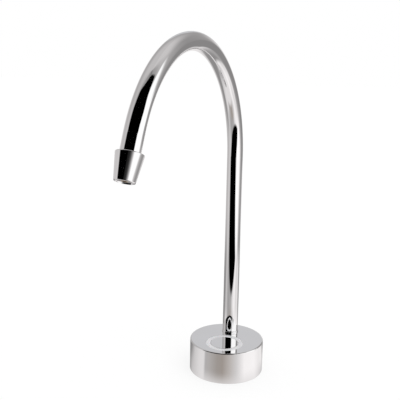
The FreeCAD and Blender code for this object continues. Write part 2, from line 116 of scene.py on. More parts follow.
def arrow(turn, height=0.0):
    """The direction at a compass angle and a height above level, both in radians."""
    return Vector((
        math.sin(turn) * math.cos(height),
        -math.cos(turn) * math.cos(height),
        math.sin(height),
    ))


def place_camera():
    """A camera on a sphere round its aim, looking inwards and rolled about its own axis."""
    back = arrow(AZIMUTH, ELEVATION)
    level = Vector((math.cos(AZIMUTH), math.sin(AZIMUTH), 0.0))
    upright = back.cross(level)
    right = level * math.cos(ROLL) + upright * math.sin(ROLL)
    up = upright * math.cos(ROLL) - level * math.sin(ROLL)
    aim = level * AIM_RIGHT + Vector((0.0, 0.0, AIM_HEIGHT))
    camera = bpy.data.objects.new("camera", bpy.data.cameras.new("camera"))
    bpy.context.collection.objects.link(camera)
    rotation = Matrix((right, up, back)).transposed().to_4x4()
    camera.matrix_world = Matrix.Translation(aim + back * DISTANCE) @ rotation
    camera.data.sensor_width = SENSOR_MM
    camera.data.lens = SENSOR_MM * FOCAL_PIXELS / PICTURE_PIXELS
    return camera


camera = place_camera()
bpy.context.scene.camera = camera
bpy.context.scene.view_settings.view_transform = "Standard"
print(f"Lens {camera.data.lens:.1f} mm, camera at", [round(c, 3) for c in camera.location])

# %% [markdown]
# ## Small helpers for node trees
# Materials, the floor and the surroundings are all node trees. Written out in full, every node takes
# four or five lines. Five helpers keep the recipes short enough to read: they fill an input, add a
# node, do arithmetic, make a soft step from 0 to 1, and blend two colours.
# An input may be given as a number, a colour, or the output of another node.

# %% Helpers for node trees
# The Mix node has sockets for numbers, vectors and colours. These are the ones that blend colours.
MIX_SHARE = 0
MIX_FIRST = 6
MIX_SECOND = 7
MIX_RESULT = 2


def fill(tree, socket, value):
    """Puts a number, a colour or another node's output into an input."""
    if isinstance(value, bpy.types.NodeSocket):
        tree.links.new(value, socket)
    else:
        socket.default_value = value


def add(tree, kind, inputs=None, **settings):
    """A new node: kind is its type without "ShaderNode", inputs fills its sockets by name."""
    node = tree.nodes.new("ShaderNode" + kind)
    for setting, value in settings.items():
        setattr(node, setting, value)
    for name, value in (inputs or {}).items():
        fill(tree, node.inputs[name], value)
    return node


def calc(tree, operation, *values):
    """One Math node. The operation is named as in Blender's menu, such as MULTIPLY."""
    node = add(tree, "Math", operation=operation)
    for number, value in enumerate(values):
        fill(tree, node.inputs[number], value)
    return node.outputs[0]


def soft_step(tree, value, start, end):
    """0 before start, 1 after end, and a smooth slope between them."""
    node = add(
        tree, "MapRange", {"Value": value, "From Min": start, "From Max": end},
        interpolation_type="SMOOTHSTEP",
    )
    return node.outputs["Result"]


def blend_colours(tree, share, first, second):
    """first where share is 0, second where it is 1."""
    node = add(tree, "Mix", data_type="RGBA")
    fill(tree, node.inputs[MIX_SHARE], share)
    fill(tree, node.inputs[MIX_FIRST], first)
    fill(tree, node.inputs[MIX_SECOND], second)
    return node.outputs[MIX_RESULT]


print("Helpers ready: fill, add, calc, soft_step, blend_colours")

# %% [markdown]
# ## Light as the eye reads it
# On a screen, half as bright to the eye isn't half the light. It is about a fifth. The brightness of
# a studio wall is easier to think of in percent of white, as the finished picture shows it, so one
# function turns that into the amount of light that Blender works with. It follows the curve that
# screens use: a straight line for the darkest greys and a power of the brightness above them.
#
# The greys in the photograph aren't quite neutral: they lean a little to red, as lamps that are a
# touch warm make them. `STUDIO_WARMTH` holds that.

# %% From percent of white to light
STUDIO_WARMTH = 0.012
WHITE_PERCENT = 100
CURVE_START = 0.04045
CURVE_SLOPE = 12.92
CURVE_OFFSET = 0.055
CURVE_POWER = 2.4


def light(percent):
    """The amount of light that shows as this percent of white on a screen."""
    value = min(percent, WHITE_PERCENT) / WHITE_PERCENT
    if value <= CURVE_START:
        return value / CURVE_SLOPE
    return ((value + CURVE_OFFSET) / (1 + CURVE_OFFSET)) ** CURVE_POWER


def grey(percent, warmth=0.0):
    """A grey of that brightness. Warmth leans it to beige, and all greys lean a little to red."""
    red = percent * (1 + STUDIO_WARMTH + warmth)
    blue = percent * (1 - warmth)
    return (light(red), light(percent), light(blue), 1.0)


BLACK = grey(0)
WHITE = grey(WHITE_PERCENT)
print(f"50 % to the eye is {light(50):.0%} of the light")

# %% [markdown]
# ## The studio, unrolled
# A chromed tube shows the whole room squeezed into a few vertical stripes. Reading those stripes
# backwards tells what stood round the tap: a pale wall at the left and behind, a black screen in
# front, where the photographer stood, a big white soft box at the right and a grey card behind that.
#
# There are two good ways to build this. Real cards standing round the tap are easy to grasp, but
# each has to be hidden from a camera that goes round behind it. The other way, used for nearly all
# of this room, paints it by direction. Imagine the walls unrolled to one long strip: a Color Ramp is
# just such a strip, and its stops are placed by compass angle.
#
# `WALLS` is the strip at eye level, `UPPER_WALLS` the one 25 degrees above it and `CEILING` the one
# overhead. Each stop is an angle, a brightness in percent of white and, if it needs one, a warmth.

# %% The strips of the studio
ALL_ROUND = 360
RAMP_MIDDLE = 0.5
WALLS = [
    (-180, 95), (-145, 87), (-125, 78), (-97, 76), (-70, 81), (-55, 74), (46, 97), (56, 100),
    (105, 100), (116, 86), (126, 62), (142, 53), (157, 61), (168, 88),
]
UPPER_WALLS = [
    (-180, 60), (-130, 64), (-105, 67), (-82, 74), (-67, 74), (92, 72), (110, 68), (142, 56),
    (168, 60),
]
CEILING = [
    (-180, 73), (-105, 73), (-85, 69), (-67, 58), (60, 45), (76, 57), (95, 62), (110, 71), (127, 76),
]


def ramp(tree, share, stops):
    """A Color Ramp; each stop is a place from 0 to 1 and a colour."""
    node = add(tree, "ValToRGB", {"Fac": share})
    elements = node.color_ramp.elements
    while len(elements) < len(stops):
        elements.new(RAMP_MIDDLE)
    for element, (place, colour) in zip(elements, stops):
        element.position = place
        element.color = colour
    return node.outputs["Color"]


def ramp_place(degrees, whole=ALL_ROUND):
    """Where an angle is on a ramp that spans the whole and has 0 degrees in its middle."""
    return degrees / whole + RAMP_MIDDLE


def strip(tree, angle, stops):
    """A Color Ramp that runs once round the compass."""
    turn = calc(tree, "MULTIPLY_ADD", angle, 1 / ALL_ROUND, RAMP_MIDDLE)
    return ramp(tree, turn, [
        (ramp_place(degrees), grey(percent, *warmth)) for degrees, percent, *warmth in stops
    ])


print("Stops at eye level:", len(WALLS), "above it:", len(UPPER_WALLS), "overhead:", len(CEILING))

# %% [markdown]
# ## Cards in front of the walls
# A card is a rectangle of the sky: from one compass angle to another and from one height to another,
# with soft edges. It could be drawn in a picture of the sky, but four soft steps, multiplied, give
# its shape with numbers that can be read and changed one by one.
#
# The black screen isn't a rectangle. It reaches almost overhead and gets wider towards its top, so
# its left and right edges are lines of their own: `SCREEN_LEFT` and `SCREEN_RIGHT` list a height and
# the compass angle there. The same kind of Color Ramp holds them, with the angle in the place of the
# brightness.
#
# Low on the screen's right a card goes from dark grey to white. It is what rounds off the black on
# the nozzle. Behind the tap a pale card stands low, and the flat top of the base mirrors just that.

# %% Shape the cards
STRAIGHT_DOWN = -90
DOWN_TO_UP = 180
CARD_FADE = 4
SOFT_BOX = dict(left=50, right=117, bottom=STRAIGHT_DOWN, top=40, blur=7)
BACK_CARD = dict(left=-177, right=-156, bottom=2, top=30, blur=4)
BACK_CARD_GREY = grey(76.5, -0.012)
SIDE_CARD = dict(left=3, right=64, bottom=2, top=19, blur=4)
SIDE_GREYS = [(0, 15), (20, 17), (30, 33), (38, 55), (46, 76), (54, 96), (62, 100)]
SCREEN_TOP = 80
SCREEN_BLUR = 3
SCREEN_FADE = 1.5
SCREEN_LEFT = [
    (-20, -45), (-10, -57), (5, -64), (14, -66), (26, -66), (32, -62), (44, -67), (62, -67),
    (69, -56), (76, -32), (80, -5),
]
SCREEN_RIGHT = [
    (-10, 24), (5, 31), (13, 37), (20, 50), (24, 69), (27, 81), (37, 82), (43, 87), (48, 93),
    (55, 91), (61, 86), (68, 81), (75, 71), (80, 45),
]


def card(tree, angle, height, left, right, bottom, top, blur, fade=CARD_FADE):
    """1 on the card, 0 beside it. Blur softens its sides, fade its top and bottom."""
    sides = calc(
        tree, "MULTIPLY",
        soft_step(tree, calc(tree, "SUBTRACT", angle, left), -blur, blur),
        soft_step(tree, calc(tree, "SUBTRACT", right, angle), -blur, blur),
    )
    ends = calc(
        tree, "MULTIPLY",
        soft_step(tree, calc(tree, "SUBTRACT", height, bottom), -fade, fade),
        soft_step(tree, calc(tree, "SUBTRACT", top, height), -fade, fade),
    )
    return calc(tree, "MULTIPLY", sides, ends)


def edge_line(tree, height, points):
    """The compass angle of a leaning edge at this height."""
    share = calc(tree, "MULTIPLY_ADD", height, 1 / DOWN_TO_UP, RAMP_MIDDLE)
    stops = [
        (ramp_place(rise, DOWN_TO_UP), (ramp_place(turn),) * 3 + (1.0,)) for rise, turn in points
    ]
    return calc(
        tree, "MULTIPLY_ADD", ramp(tree, share, stops), ALL_ROUND, -ALL_ROUND * RAMP_MIDDLE
    )


def black_screen(tree, angle, height):
    """The black screen in front of the tap, with the photographer behind it."""
    left = edge_line(tree, height, SCREEN_LEFT)
    right = edge_line(tree, height, SCREEN_RIGHT)
    return card(
        tree, angle, height, left, right, STRAIGHT_DOWN, SCREEN_TOP, SCREEN_BLUR, SCREEN_FADE
    )


print("Heights at which the screen's edges turn:", len(SCREEN_LEFT), "and", len(SCREEN_RIGHT))

# %% [markdown]
# ## What each ray finds
# The world answers each kind of ray in its own way. A ray straight from the camera finds plain
# white, so the background is white. A ray that lights a matt surface finds an even, nearly white
# sky, so every colour renders about as it is written. Only a ray that left a shiny or clear surface
# finds the painted studio.
#
# Chrome keeps a little of the light that falls on it. `CHROME_RETURN` is the share that it gives
# back. The studio is brighter to make up for it, so a wall of 80 percent shows as 80 percent in the
# chrome.

# %% Paint the surroundings
SKY_LIGHT = 0.86
CHROME_RETURN = 0.93
HIGHER_STRIPS = [(0, 24, UPPER_WALLS), (27, 60, CEILING)]


def compass(tree, direction):
    """Compass angle and height of a direction, in degrees."""
    parts = add(tree, "SeparateXYZ", {"Vector": direction})
    forward = calc(tree, "MULTIPLY", parts.outputs["Y"], -1.0)
    angle = calc(tree, "DEGREES", calc(tree, "ARCTAN2", parts.outputs["X"], forward))
    height = calc(tree, "DEGREES", calc(tree, "ARCSINE", parts.outputs["Z"]))
    return angle, height


def studio_colour(tree):
    """The painted room: its strips, one above the other, and the cards in front of them."""
    angle, height = compass(tree, add(tree, "TexCoord").outputs["Generated"])
    colour = strip(tree, angle, WALLS)
    for start, end, stops in HIGHER_STRIPS:
        share = soft_step(tree, height, start, end)
        colour = blend_colours(tree, share, colour, strip(tree, angle, stops))
    cards = [
        (card(tree, angle, height, **BACK_CARD), BACK_CARD_GREY),
        (card(tree, angle, height, **SOFT_BOX), WHITE),
        (black_screen(tree, angle, height), BLACK),
        (card(tree, angle, height, **SIDE_CARD), strip(tree, angle, SIDE_GREYS)),
    ]
    for share, paint in cards:
        colour = blend_colours(tree, share, colour, paint)
    return colour


def sky_strength(tree, path, shiny):
    """SKY_LIGHT for matt surfaces, 1 for the camera, and a little more than 1 for shiny ones."""
    full = calc(tree, "MAXIMUM", shiny, path["Is Camera Ray"])
    strength = add(tree, "MapRange", {"Value": full, "To Min": SKY_LIGHT, "To Max": 1.0})
    gain = calc(tree, "MULTIPLY_ADD", shiny, 1 / CHROME_RETURN - 1, 1.0)
    return calc(tree, "MULTIPLY", strength.outputs["Result"], gain)


def paint_world():
    """White for the camera, even light for matt surfaces, the studio for shiny ones."""
    world = bpy.data.worlds.new("studio")
    bpy.context.scene.world = world
    world.use_nodes = True
    tree = world.node_tree
    tree.nodes.clear()
    path = add(tree, "LightPath").outputs
    shiny = calc(tree, "MAXIMUM", path["Is Glossy Ray"], path["Is Transmission Ray"])
    background = add(tree, "Background", {
        "Color": blend_colours(tree, shiny, WHITE, studio_colour(tree)),
        "Strength": sky_strength(tree, path, shiny),
    })
    output = add(tree, "OutputWorld")
    tree.links.new(background.outputs[0], output.inputs["Surface"])
    return world


world = paint_world()
print("Nodes in the world's tree:", len(world.node_tree.nodes))

# %% [markdown]
# ## A floor for the eye
# To the camera the floor is plain white paper with light behind it, as on a light table, so that
# only a faint, soft shadow is left round the tap's foot. A shadow could be faded afterwards in the
# picture, but paper that shines by itself gives the same in one step, from any side.
#
# The chrome tells another story: where the stripes on its base and its tube begin and end only fits
# a table top that lies 55 mm lower, so the tap stood on something small above it. There are two
# sheets, then. The chrome can't see the paper, and only the chrome sees the table.

# %% Lay the floor
FLOOR_SIDE = 8.0
PAPER_GLOW = 0.80


def stage_sheet(name, points, faces):
    """A mesh that belongs to the studio and not to the tap."""
    mesh = bpy.data.meshes.new(name)
    mesh.from_pydata(points, [], faces)
    sheet = bpy.data.objects.new(name, mesh)
    bpy.context.collection.objects.link(sheet)
    sheet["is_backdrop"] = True
    return sheet


def flat_sheet(name, height):
    """A large square sheet under the tap, at this height in metres."""
    half = FLOOR_SIDE / 2
    corners = [(-half, -half), (half, -half), (half, half), (-half, half)]
    return stage_sheet(name, [(x, y, height) for x, y in corners], [range(4)])


def sheet_finish(name):
    """An empty material; returns it, its tree and its output."""
    material = bpy.data.materials.new(name)
    material.use_nodes = True
    material.node_tree.nodes.clear()
    return material, material.node_tree, add(material.node_tree, "OutputMaterial")


def white_paper():
    """Plain white paper. Light shines through it, so the tap's shadow on it stays faint."""
    material, tree, output = sheet_finish("white_paper")
    paper = add(tree, "BsdfDiffuse", {"Color": WHITE})
    glow = add(tree, "Emission", {"Color": WHITE, "Strength": 1.0})
    seen = calc(tree, "MULTIPLY", add(tree, "LightPath").outputs["Is Camera Ray"], PAPER_GLOW)
    mix = add(tree, "MixShader", {"Fac": seen, 1: paper.outputs[0], 2: glow.outputs[0]})
    tree.links.new(mix.outputs[0], output.inputs["Surface"])
    return material


floor = flat_sheet("floor", 0.0)
floor.data.materials.append(white_paper())
floor.visible_glossy = False
floor.visible_transmission = False
print(f"Floor {FLOOR_SIDE:.0f} m square, {PAPER_GLOW:.0%} of its white is its own glow")

# %% [markdown]
# ## A table for the chrome
# The table is painted like the walls, by compass angle, but it needs five strips, because different
# parts of the tap look down on different rings of it: the inside of the arch sees what lies under
# the tap, the base's side sees the table 12 to 20 cm out, the lower tube sees it at 20 to 40 cm and
# the upper tube from there on. Beyond a metre or two it takes the colour of the walls. Each ring
# gives the distances between which it takes over from the one inside it.
#
# Behind the tap the table lies in shade. The shade begins at a soft, straight edge and gets lighter
# again with the distance. The underside of the arch and the left edge of the base are dark from it.
# In front lies a black cloth with three straight, soft edges. It draws the black stripe down the
# front of the tube, and the edge near the tap gives that stripe its pointed end.

# %% Lay the table
TABLE_HEIGHT = -0.055
UNDER_TAP = [
    (-165, 72), (-145, 63), (-105, 78), (-65, 86), (30, 85), (105, 89), (150, 77),
]
NEAR_TABLE = [
    (-150, 90), (-125, 80), (-105, 76), (-88, 81), (-72, 85), (-58, 85), (-52, 68), (-40, 67, 0.01),
    (-15, 59, 0.03), (0, 58, 0.04), (20, 69, 0.02), (40, 79), (65, 94), (100, 95), (125, 90),
    (150, 92),
]
MIDDLE_TABLE = [
    (-180, 66), (-125, 60), (-100, 62), (-82, 72), (-68, 78), (-50, 66), (-25, 61), (-10, 66),
    (8, 66), (20, 78), (38, 90), (62, 95), (85, 84), (110, 90), (130, 82), (165, 78),
]
FAR_TABLE = [
    (-180, 90), (-145, 80), (-120, 69), (-95, 73), (-72, 80), (-50, 72), (0, 42), (22, 42), (28, 70),
    (36, 98), (45, 100), (80, 98), (90, 80), (100, 67), (112, 58), (130, 56), (142, 66), (152, 82),
    (168, 92),
]
TABLE_RINGS = [
    (0.12, 0.16, NEAR_TABLE), (0.20, 0.27, MIDDLE_TABLE), (0.40, 0.56, FAR_TABLE),
    (1.30, 2.60, WALLS),
]
SHADE_GREY = grey(54)
SHADE_EDGE = dict(faces=-160, distance=0.115, blur=0.035)
SHADE_FADE = dict(start=0.80, end=0.22)
CLOTH_EDGES = [
    dict(faces=9.5, distance=0.298, blur=0.020),
    dict(faces=26.9, distance=0.188, blur=0.020),
    dict(faces=-81, distance=-0.350, blur=0.012),
]


def beyond_edge(tree, place, faces, distance, blur):
    """1 beyond a straight edge, 0 before it; faces is the compass angle that leads across it."""
    across = arrow(math.radians(faces))
    reach = add(tree, "VectorMath", {0: place, 1: across}, operation="DOT_PRODUCT")
    return soft_step(tree, reach.outputs["Value"], distance - blur, distance + blur)


def cloth_shape(tree, place):
    """1 on the black cloth, 0 beside it."""
    shape = 1.0
    for edge in CLOTH_EDGES:
        shape = calc(tree, "MULTIPLY", shape, beyond_edge(tree, place, **edge))
    return shape


def table_colour(tree, place):
    """Rings of colour round the tap, with the shade and the cloth on them."""
    angle, _ = compass(tree, place)
    distance = add(tree, "VectorMath", {0: place}, operation="LENGTH").outputs["Value"]
    colour = strip(tree, angle, UNDER_TAP)
    for start, end, stops in TABLE_RINGS:
        share = soft_step(tree, distance, start, end)
        colour = blend_colours(tree, share, colour, strip(tree, angle, stops))
    shade = calc(
        tree, "MULTIPLY",
        beyond_edge(tree, place, **SHADE_EDGE), soft_step(tree, distance, **SHADE_FADE),
    )
    colour = blend_colours(tree, shade, colour, SHADE_GREY)
    return blend_colours(tree, cloth_shape(tree, place), colour, BLACK)


def painted_table():
    """The table's colours, shining like the studio's walls."""
    material, tree, output = sheet_finish("painted_table")
    place = add(tree, "TexCoord").outputs["Object"]
    level = add(tree, "VectorMath", {0: place, 1: (1.0, 1.0, 0.0)}, operation="MULTIPLY")
    colour = table_colour(tree, level.outputs["Vector"])
    shine = add(tree, "Emission", {"Color": colour, "Strength": 1 / CHROME_RETURN})
    tree.links.new(shine.outputs[0], output.inputs["Surface"])
    return material


def show_in_chrome_only(sheet):
    """Hides a sheet from the camera and from matt surfaces, and lets it cast no shadow."""
    sheet.visible_camera = False
    sheet.visible_diffuse = False
    sheet.visible_shadow = False


table = flat_sheet("mirrored_table", TABLE_HEIGHT)
table.data.materials.append(painted_table())
show_in_chrome_only(table)
print(f"Table {-MM_PER_METRE * TABLE_HEIGHT:.0f} mm below the floor, with", len(TABLE_RINGS), "rings")

# %% [markdown]
# ## Two near cards
# A room that is painted by direction looks the same from every part of the tap, as if all of it were
# far away. For most of it that is close enough, but not in two places. At the right end of the black
# screen the base mirrors white, where the arch mirrors black at the same angle. And behind the tap,
# at the right, the arch looks down on dark grey, where the tube sees a bright table at the same
# angle. Only things near the tap look so different from its foot and from its top.
#
# So two cards become real sheets, bent round the tap: a white one in front at the right, 45 cm away,
# and a grey one behind it at the right, 25 cm away. The disc in the base looks up at the white card
# by way of the tube, and the tube looks through below the grey one.
#
# Only shiny surfaces see the sheets. Each fades to clear at its edges, with the same soft steps as
# the painted cards. Here their heights are in millimetres.

# %% Bend two cards round the tap
NEAR_CARDS = {
    "white_card": dict(
        radius=0.45, paint=WHITE,
        edges=dict(left=33, right=112, bottom=205, top=300, blur=5, fade=12),
    ),
    "grey_card": dict(
        radius=0.25, paint=grey(52),
        edges=dict(left=120, right=163, bottom=128, top=300, blur=8, fade=12),
    ),
}
CARD_PIECES = 30
CARD_MARGIN = 2


def card_on_clear(name, paint, edges):
    """Light of the card's colour on the card, and nothing beside it."""
    material, tree, output = sheet_finish(name)
    place = add(tree, "TexCoord").outputs["Object"]
    angle, _ = compass(tree, place)
    metres = add(tree, "SeparateXYZ", {"Vector": place}).outputs["Z"]
    shape = card(tree, angle, calc(tree, "MULTIPLY", metres, MM_PER_METRE), **edges)
    clear = add(tree, "BsdfTransparent")
    shine = add(tree, "Emission", {"Color": paint, "Strength": 1 / CHROME_RETURN})
    mix = add(tree, "MixShader", {"Fac": shape, 1: clear.outputs[0], 2: shine.outputs[0]})
    tree.links.new(mix.outputs[0], output.inputs["Surface"])
    return material


def bent_points(radius, start, end, low, high):
    """Pairs of points, one low and one high, along part of a circle; start and end are angles."""
    points = []
    for number in range(CARD_PIECES + 1):
        spot = radius * arrow(math.radians(start + (end - start) * number / CARD_PIECES))
        points += [(spot.x, spot.y, low), (spot.x, spot.y, high)]
    return points


def bend_card(name, radius, paint, edges):
    """An upright sheet on part of a circle, larger than its card by two blurs or fades all round."""
    side = CARD_MARGIN * edges["blur"]
    end = CARD_MARGIN * edges["fade"]
    points = bent_points(
        radius, edges["left"] - side, edges["right"] + side,
        (edges["bottom"] - end) / MM_PER_METRE, (edges["top"] + end) / MM_PER_METRE,
    )
    # Each face joins one pair of points to the next pair.
    faces = [(n, n + 1, n + 3, n + 2) for n in range(0, 2 * CARD_PIECES, 2)]
    sheet = stage_sheet(name, points, faces)
    sheet.data.materials.append(card_on_clear(name, paint, edges))
    show_in_chrome_only(sheet)


for name, values in NEAR_CARDS.items():
    bend_card(name, **values)
print("Bent cards:", ", ".join(NEAR_CARDS))

# %% [markdown]
# ## One soft lamp
# An even sky alone gives no sense of direction to the rubber and plastic parts. A large, soft sun
# from the right and above, where the soft box stands, adds it. An area lamp would do too, but a sun
# is as bright at the tap's top as at its foot. It is set so that sky and lamp together light white
# paper to `PAPER_LIGHT`, just over white: the sky gives 0.86 and the lamp the rest. The chrome
# doesn't see the lamp, because the painted soft box stands there already.

# %% Hang the lamp
LAMP_HEIGHT = math.radians(55)
LAMP_COMPASS = math.radians(60)
LAMP_SPREAD = math.radians(40)
PAPER_LIGHT = 1.05


def hang_lamp():
    """A sun that gives a level white surface what the sky leaves of PAPER_LIGHT."""
    data = bpy.data.lights.new("soft_lamp", "SUN")
    data.energy = (PAPER_LIGHT - SKY_LIGHT) * math.pi / math.sin(LAMP_HEIGHT)
    data.angle = LAMP_SPREAD
    lamp = bpy.data.objects.new("soft_lamp", data)
    bpy.context.collection.objects.link(lamp)
    lamp.rotation_mode = "QUATERNION"
    lamp.rotation_quaternion = arrow(LAMP_COMPASS, LAMP_HEIGHT).to_track_quat("Z", "Y")
    lamp.visible_glossy = False
    return lamp


lamp = hang_lamp()
print(f"Lamp strength {lamp.data.energy:.2f}")

# %% [markdown]
# ## A common start for the finishes
# Each finish below is a Principled shader with a pattern for its colour, one for its roughness and
# one for its relief. Pictures of real surfaces could give these patterns, but they would show seams
# on such small round parts. Noise has none. All patterns read the place on the object itself, in
# metres, so a grain of 0.3 mm is 0.3 mm on every part, large or small.
#
# Values that are the same all over a finish, such as how metallic it is, go straight to the shader.

# %% Helpers for finishes
# Noise runs from 0 to 1, but nearly all of it lies between these two.
NOISE_LOW = 0.35
NOISE_HIGH = 0.65


def new_finish(name, constants=None):
    """An empty material with a Principled shader; returns it, its tree, the shader and the place."""
    material = bpy.data.materials.new(name)
    material.use_nodes = True
    tree = material.node_tree
    tree.nodes.clear()
    shader = add(tree, "BsdfPrincipled", constants)
    output = add(tree, "OutputMaterial")
    tree.links.new(shader.outputs[0], output.inputs["Surface"])
    place = add(tree, "TexCoord").outputs["Object"]
    return material, tree, shader, place


def speckle(tree, place, size, detail=2.0, stretch=(1.0, 1.0, 1.0)):
    """Noise with features of about this size in metres, stretched along the axes."""
    scale = tuple(1 / (size * length) for length in stretch)
    stretched = add(tree, "Mapping", {"Vector": place, "Scale": scale}).outputs[0]
    node = add(tree, "TexNoise", {"Vector": stretched, "Scale": 1.0, "Detail": detail})
    return node.outputs[0]


def between(tree, pattern, first, second, start=NOISE_LOW, end=NOISE_HIGH):
    """A number that goes from first to second as the pattern goes from start to end."""
    node = add(tree, "MapRange", {
        "Value": pattern, "From Min": start, "From Max": end, "To Min": first, "To Max": second,
    })
    return node.outputs["Result"]


def patches(tree, place, size, detail=2.0, start=NOISE_LOW, end=NOISE_HIGH):
    """Soft patches of this size: 1 on them, 0 beside them."""
    return between(tree, speckle(tree, place, size, detail), 0.0, 1.0, start, end)


def two_colours(tree, shader, share, first, second):
    """Colours the shader: first where share is 0, second where it is 1."""
    fill(tree, shader.inputs["Base Color"], blend_colours(tree, share, first, second))


def two_roughnesses(tree, shader, share, first, second):
    """Roughens the shader: first where share is 0, second where it is 1."""
    rough = between(tree, share, first, second, start=0.0, end=1.0)
    fill(tree, shader.inputs["Roughness"], rough)


def relief(tree, shader, pattern, depth):
    """Bump of this depth in metres, from a pattern that runs from 0 to 1."""
    node = add(tree, "Bump", {"Height": pattern, "Distance": depth, "Strength": 1.0})
    tree.links.new(node.outputs["Normal"], shader.inputs["Normal"])


print("Helpers ready: new_finish, speckle, between, patches, two_colours, two_roughnesses, relief")

# %% [markdown]
# ## Polished chrome
# The outside of the tap is metal polished to a mirror and plated with a thin layer of chrome. A
# perfect mirror would be one value and done, but three things keep a real one from looking
# computer-made, and each is a noise of its own size here. The polishing leaves waves far too shallow
# to feel, which make the reflections swim a little. Handling leaves a faint haze in patches, which
# is roughness and not colour. And the buffing wheel leaves very fine hairlines.
# Chrome's own colour is a grey of about 0.93, not white: a little of the light stays in it.

# %% Polished chrome
CHROME_GREY = (0.920, 0.918, 0.920, 1.0)
CHROME_PALE = (0.945, 0.942, 0.944, 1.0)
MIRROR_ROUGHNESS = 0.022
HAZE_ROUGHNESS = 0.025
HAIRLINE_ROUGHNESS = 0.010


def polished_chrome():
    """A mirror with shallow waves, a haze in patches and fine hairlines."""
    material, tree, shader, place = new_finish("polished_chrome", {"Metallic": 1.0})
    two_colours(tree, shader, patches(tree, place, size=0.040), CHROME_GREY, CHROME_PALE)
    haze = patches(tree, place, size=0.012, detail=4.0, start=0.45, end=0.75)
    hairlines = speckle(tree, place, size=0.0004, stretch=(1.0, 1.0, 12.0))
    rough = calc(tree, "MULTIPLY_ADD", haze, HAZE_ROUGHNESS, MIRROR_ROUGHNESS)
    rough = calc(tree, "ADD", rough, between(tree, hairlines, 0.0, HAIRLINE_ROUGHNESS))
    fill(tree, shader.inputs["Roughness"], rough)
    relief(tree, shader, speckle(tree, place, size=0.022, detail=1.0), depth=0.000015)
    return material


finishes = {"chrome_plate": polished_chrome()}
print("Finish made: polished chrome")

# %% [markdown]
# ## Turned brass
# The block, the spigot, the nozzle's sleeve and the outlet are machined from brass rod and stay
# bare, because hardly any of it shows. A lathe tool leaves fine grooves round the axis, about three
# to a millimetre, and bare brass darkens where fingers and water touched it. Grooves could be real
# edges in the mesh, but they are far too fine for that, so a Wave texture draws them as rings round
# the vertical axis. The tarnish is a soft noise that turns the colour to brown and makes it duller
# in the same places.

# %% Turned brass
BRASS_CLEAN = (0.80, 0.58, 0.27, 1.0)
BRASS_TARNISHED = (0.55, 0.35, 0.15, 1.0)
BRASS_ROUGHNESS = (0.22, 0.48)
GROOVE_ROUGHNESS = 0.06
GROOVE_SCALE = 900.0


def lathe_grooves(tree, place):
    """Rings round the vertical axis, a little wavy."""
    return add(
        tree, "TexWave",
        {"Vector": place, "Scale": GROOVE_SCALE, "Distortion": 0.6, "Detail": 2.0},
        wave_type="RINGS", rings_direction="Z",
    ).outputs[0]


def turned_brass():
    """Bare brass with the lathe's grooves and tarnish in patches."""
    material, tree, shader, place = new_finish("turned_brass", {"Metallic": 1.0})
    tarnish = patches(tree, place, size=0.008, detail=5.0, start=0.45, end=0.70)
    two_colours(tree, shader, tarnish, BRASS_CLEAN, BRASS_TARNISHED)
    grooves = lathe_grooves(tree, place)
    rough = between(tree, tarnish, *BRASS_ROUGHNESS, start=0.0, end=1.0)
    rough = calc(tree, "MULTIPLY_ADD", grooves, GROOVE_ROUGHNESS, rough)
    fill(tree, shader.inputs["Roughness"], rough)
    relief(tree, shader, grooves, depth=0.000012)
    return material


finishes["brass"] = turned_brass()
print("Finish made: turned brass")

# %% [markdown]
# ## Stainless steel
# Screws, clips, the stop pin, the coil and the outlet's screen are stainless steel, drawn or
# pressed, and the magnet is plated to look like it. Drawing leaves streaks along the wire, and
# tumbling dulls the high spots. A shader can be told to stretch its highlights for this, but then it
# shows no single streak. A noise that is stretched ten times along one axis does.

# %% Stainless steel
STEEL_PALE = (0.66, 0.65, 0.63, 1.0)
STEEL_DARK = (0.52, 0.51, 0.50, 1.0)
STREAK_ROUGHNESS = (0.20, 0.36)
DULLED_ROUGHNESS = 0.08


def stainless_steel():
    """Drawn or pressed steel, streaked and dulled in patches."""
    material, tree, shader, place = new_finish("stainless_steel", {"Metallic": 1.0})
    clouds = patches(tree, place, size=0.004, detail=3.0)
    two_colours(tree, shader, clouds, STEEL_PALE, STEEL_DARK)
    streaks = speckle(tree, place, size=0.0003, detail=3.0, stretch=(1.0, 1.0, 10.0))
    rough = between(tree, streaks, *STREAK_ROUGHNESS)
    rough = calc(tree, "MULTIPLY_ADD", clouds, DULLED_ROUGHNESS, rough)
    fill(tree, shader.inputs["Roughness"], rough)
    relief(tree, shader, streaks, depth=0.000008)
    return material


finishes["steel"] = stainless_steel()
print("Finish made: stainless steel")

# %% [markdown]
# ## Rubber
# Sealing rubber is matt and almost black. A fine grain comes from the mould, and a grey bloom of
# talc and dust sits in patches on it. It could be one even black, but black things in a render need
# this bloom more than others do: without it they look like holes.

# %% Sealing rubber
RUBBER_BLACK = (0.018, 0.018, 0.019, 1.0)
RUBBER_BLOOM = (0.060, 0.059, 0.056, 1.0)
RUBBER_ROUGHNESS = (0.68, 0.90)


def sealing_rubber():
    """Matt black rubber with a fine grain and a grey bloom."""
    material, tree, shader, place = new_finish("sealing_rubber", {"Specular IOR Level": 0.35})
    bloom = patches(tree, place, size=0.006, detail=6.0, start=0.50, end=0.75)
    two_colours(tree, shader, bloom, RUBBER_BLACK, RUBBER_BLOOM)
    two_roughnesses(tree, shader, bloom, *RUBBER_ROUGHNESS)
    relief(tree, shader, speckle(tree, place, size=0.00025, detail=3.0), depth=0.00003)
    return material


finishes["rubber"] = sealing_rubber()
print("Finish made: sealing rubber")

# %% [markdown]
# ## Moulded plastics
# Black plastic makes the holders and sockets inside the tap and the outlet's straightener, and a
# white, slippery one its bearings and guides. A moulded part copies the spark-eroded skin of its
# mould, which is a fine, even grain. Flow marks are broad soft clouds on top of it. The two differ
# only in their values, so one recipe serves both.

